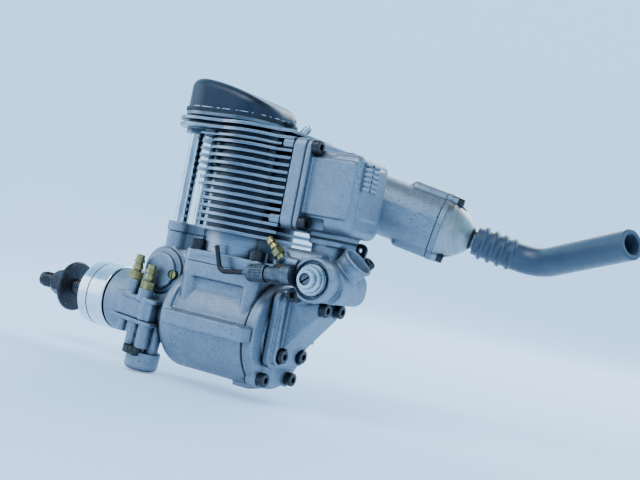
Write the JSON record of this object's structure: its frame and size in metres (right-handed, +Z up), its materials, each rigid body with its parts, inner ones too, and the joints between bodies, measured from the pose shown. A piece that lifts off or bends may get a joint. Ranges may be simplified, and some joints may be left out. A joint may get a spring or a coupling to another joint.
{
  "type": "model glow engine",
  "caption": "Upright four-stroke model aircraft engine with overhead valves, rear carburettor, finned cylinder, beam lugs and side muffler with a rubber deflector.",
  "frame": {"origin": "centre of the beam-mount hole pattern on the underside of the lugs", "axes": "+X forward along the crankshaft to the propeller end, +Y to the engine's left side, +Z up the cylinder"},
  "size_m": [0.2527, 0.0886, 0.1226],
  "materials": {
    "cast_alloy": "bead-blasted satin",
    "machined_alloy": "machined satin",
    "polished_alloy": "turned and polished",
    "navy_paint": "glossy, worn at the edges",
    "black_steel": "black oxide",
    "chrome_tube": "polished",
    "bright_steel": "ground",
    "brass": "slightly tarnished",
    "gunmetal": "dark",
    "black_gasket": "matte",
    "black_plastic": "matte",
    "blue_silicone": "soft sheen"
  },
  "bodies": {
    "engine_block": {"crankcase": "cast_alloy", "rear_cover": "cast_alloy", "gaskets": "black_gasket", "cap_screws": "black_steel", "bearing_outer_rings": "bright_steel", "cam_covers": "cast_alloy", "cam_cover_screw": "brass", "tappet_housing": "cast_alloy", "pushrod_tubes": "chrome_tube", "rocker_shaft": "bright_steel", "cylinder": "machined_alloy", "cylinder_liner": "bright_steel", "cylinder_head": "machined_alloy", "rocker_cover": "navy_paint", "rocker_cover_gasket": "black_gasket", "glow_plug": "bright_steel", "intake_flange": "cast_alloy", "air_chamber": "cast_alloy", "carburettor_body": "cast_alloy", "fuel_nipples": "brass", "regulator_cap": "polished_alloy", "needle_valve_body": "gunmetal", "intake_housing": "cast_alloy", "fuel_pump_body": "cast_alloy", "fuel_pump_base": "cast_alloy", "fuel_pump_cap": "black_plastic", "exhaust_header": "cast_alloy", "muffler_body": "cast_alloy", "muffler_ring": "cast_alloy", "muffler_cone": "polished_alloy", "muffler_screws": "black_steel", "exhaust_deflector": "blue_silicone", "intake_valve_spring": "bright_steel", "exhaust_valve_spring": "bright_steel"},
    "crank": {"crankshaft": "bright_steel", "crank_gear": "bright_steel", "bearing_inner_rings": "bright_steel", "drive_hub": "polished_alloy", "propeller_nut": "black_steel"},
    "washer": {"propeller_washer": "black_steel"},
    "inlet_disc": {"rotary_valve": "bright_steel"},
    "cam": {"camshaft": "bright_steel"},
    "piston_set": {"piston": "machined_alloy", "piston_ring": "bright_steel", "wrist_pin": "bright_steel", "connecting_rod": "machined_alloy"},
    "intake_tappet_body": {"intake_tappet": "bright_steel"},
    "exhaust_tappet_body": {"exhaust_tappet": "bright_steel"},
    "intake_pushrod_body": {"intake_pushrod": "bright_steel"},
    "exhaust_pushrod_body": {"exhaust_pushrod": "bright_steel"},
    "intake_rocker_body": {"intake_rocker": "bright_steel"},
    "exhaust_rocker_body": {"exhaust_rocker": "bright_steel"},
    "intake_valve_body": {"intake_valve": "bright_steel"},
    "exhaust_valve_body": {"exhaust_valve": "bright_steel"},
    "throttle": {"throttle_barrel": "bright_steel", "throttle_arm": "black_steel"},
    "needle": {"needle_valve": "gunmetal"},
    "regulator_adjuster": {"regulator_screw": "gunmetal"},
    "stop_screw": {"throttle_stop_screw": "black_steel"}
  },
  "joints": [
    {"name": "crank_spin", "type": "hinge", "parent": "engine_block", "child": "crank", "pos_m": [0.005, 0, 0.0025], "axis": [1, 0, 0], "continuous": true},
    {"name": "washer_slide", "type": "slide", "parent": "crank", "child": "washer", "axis": [1, 0, 0], "range_m": [-0.0125, 0]},
    {"name": "inlet_disc_spin", "type": "hinge", "parent": "engine_block", "child": "inlet_disc", "pos_m": [-0.015, 0, 0.0025], "axis": [1, 0, 0], "continuous": true},
    {"name": "camshaft_spin", "type": "hinge", "parent": "engine_block", "child": "cam", "pos_m": [0.0355, 0, 0.0188], "axis": [0, 1, 0], "continuous": true},
    {"name": "piston_stroke", "type": "slide", "parent": "engine_block", "child": "piston_set", "axis": [0, 0, 1], "range_m": [0, 0.0248]},
    {"name": "intake_tappet_lift", "type": "slide", "parent": "engine_block", "child": "intake_tappet_body", "axis": [0, 0, 1], "range_m": [0, 0.0022]},
    {"name": "intake_pushrod_lift", "type": "slide", "parent": "engine_block", "child": "intake_pushrod_body", "axis": [0, 0, 1], "range_m": [0, 0.0022]},
    {"name": "intake_rocker_swing", "type": "hinge", "parent": "engine_block", "child": "intake_rocker_body", "pos_m": [0.021, 0.00615, 0.0907], "axis": [0, 1, 0], "range_deg": [-8.75, 0]},
    {"name": "intake_valve_lift", "type": "slide", "parent": "engine_block", "child": "intake_valve_body", "axis": [0, 0, -1], "range_m": [0, 0.00213], "stiffness_N_per_m": 800, "springref_m": -0.003, "deforming": ["intake_valve_spring"]},
    {"name": "exhaust_tappet_lift", "type": "slide", "parent": "engine_block", "child": "exhaust_tappet_body", "axis": [0, 0, 1], "range_m": [0, 0.0022]},
    {"name": "exhaust_pushrod_lift", "type": "slide", "parent": "engine_block", "child": "exhaust_pushrod_body", "axis": [0, 0, 1], "range_m": [0, 0.0022]},
    {"name": "exhaust_rocker_swing", "type": "hinge", "parent": "engine_block", "child": "exhaust_rocker_body", "pos_m": [0.021, -0.00615, 0.0907], "axis": [0, 1, 0], "range_deg": [-8.75, 0]},
    {"name": "exhaust_valve_lift", "type": "slide", "parent": "engine_block", "child": "exhaust_valve_body", "axis": [0, 0, -1], "range_m": [0, 0.00213], "stiffness_N_per_m": 800, "springref_m": -0.003, "deforming": ["exhaust_valve_spring"]},
    {"name": "throttle_turn", "type": "hinge", "parent": "engine_block", "child": "throttle", "pos_m": [-0.0386, 0, 0.0295], "axis": [0, 1, 0], "range_deg": [-40, 25]},
    {"name": "needle_turn", "type": "hinge", "parent": "engine_block", "child": "needle", "pos_m": [-0.022, 0.0222, 0.0268], "axis": [-0.9917, 0, 0.1288], "range_deg": [-10, 190]},
    {"name": "regulator_turn", "type": "hinge", "parent": "engine_block", "child": "regulator_adjuster", "pos_m": [-0.0395, 0.02, 0.0278], "axis": [0, 1, 0], "range_deg": [-180, 180]},
    {"name": "stop_screw_turn", "type": "hinge", "parent": "engine_block", "child": "stop_screw", "pos_m": [-0.0461, -0.005, 0.0348], "axis": [-0.6553, 0, 0.7554], "range_deg": [-180, 180]}
  ],
  "couplings": [
    {"joint": "inlet_disc_spin", "follows": "crank_spin", "ratio": 1},
    {"joint": "camshaft_spin", "follows": "crank_spin", "ratio": 0.5},
    {"joint": "intake_pushrod_lift", "follows": "intake_tappet_lift", "ratio": 1},
    {"joint": "intake_rocker_swing", "follows": "intake_tappet_lift", "rad_per_m": -68.97},
    {"joint": "intake_valve_lift", "follows": "intake_tappet_lift", "ratio": 0.9655},
    {"joint": "exhaust_pushrod_lift", "follows": "exhaust_tappet_lift", "ratio": 1},
    {"joint": "exhaust_rocker_swing", "follows": "exhaust_tappet_lift", "rad_per_m": -68.97},
    {"joint": "exhaust_valve_lift", "follows": "exhaust_tappet_lift", "ratio": 0.9655}
  ]
}
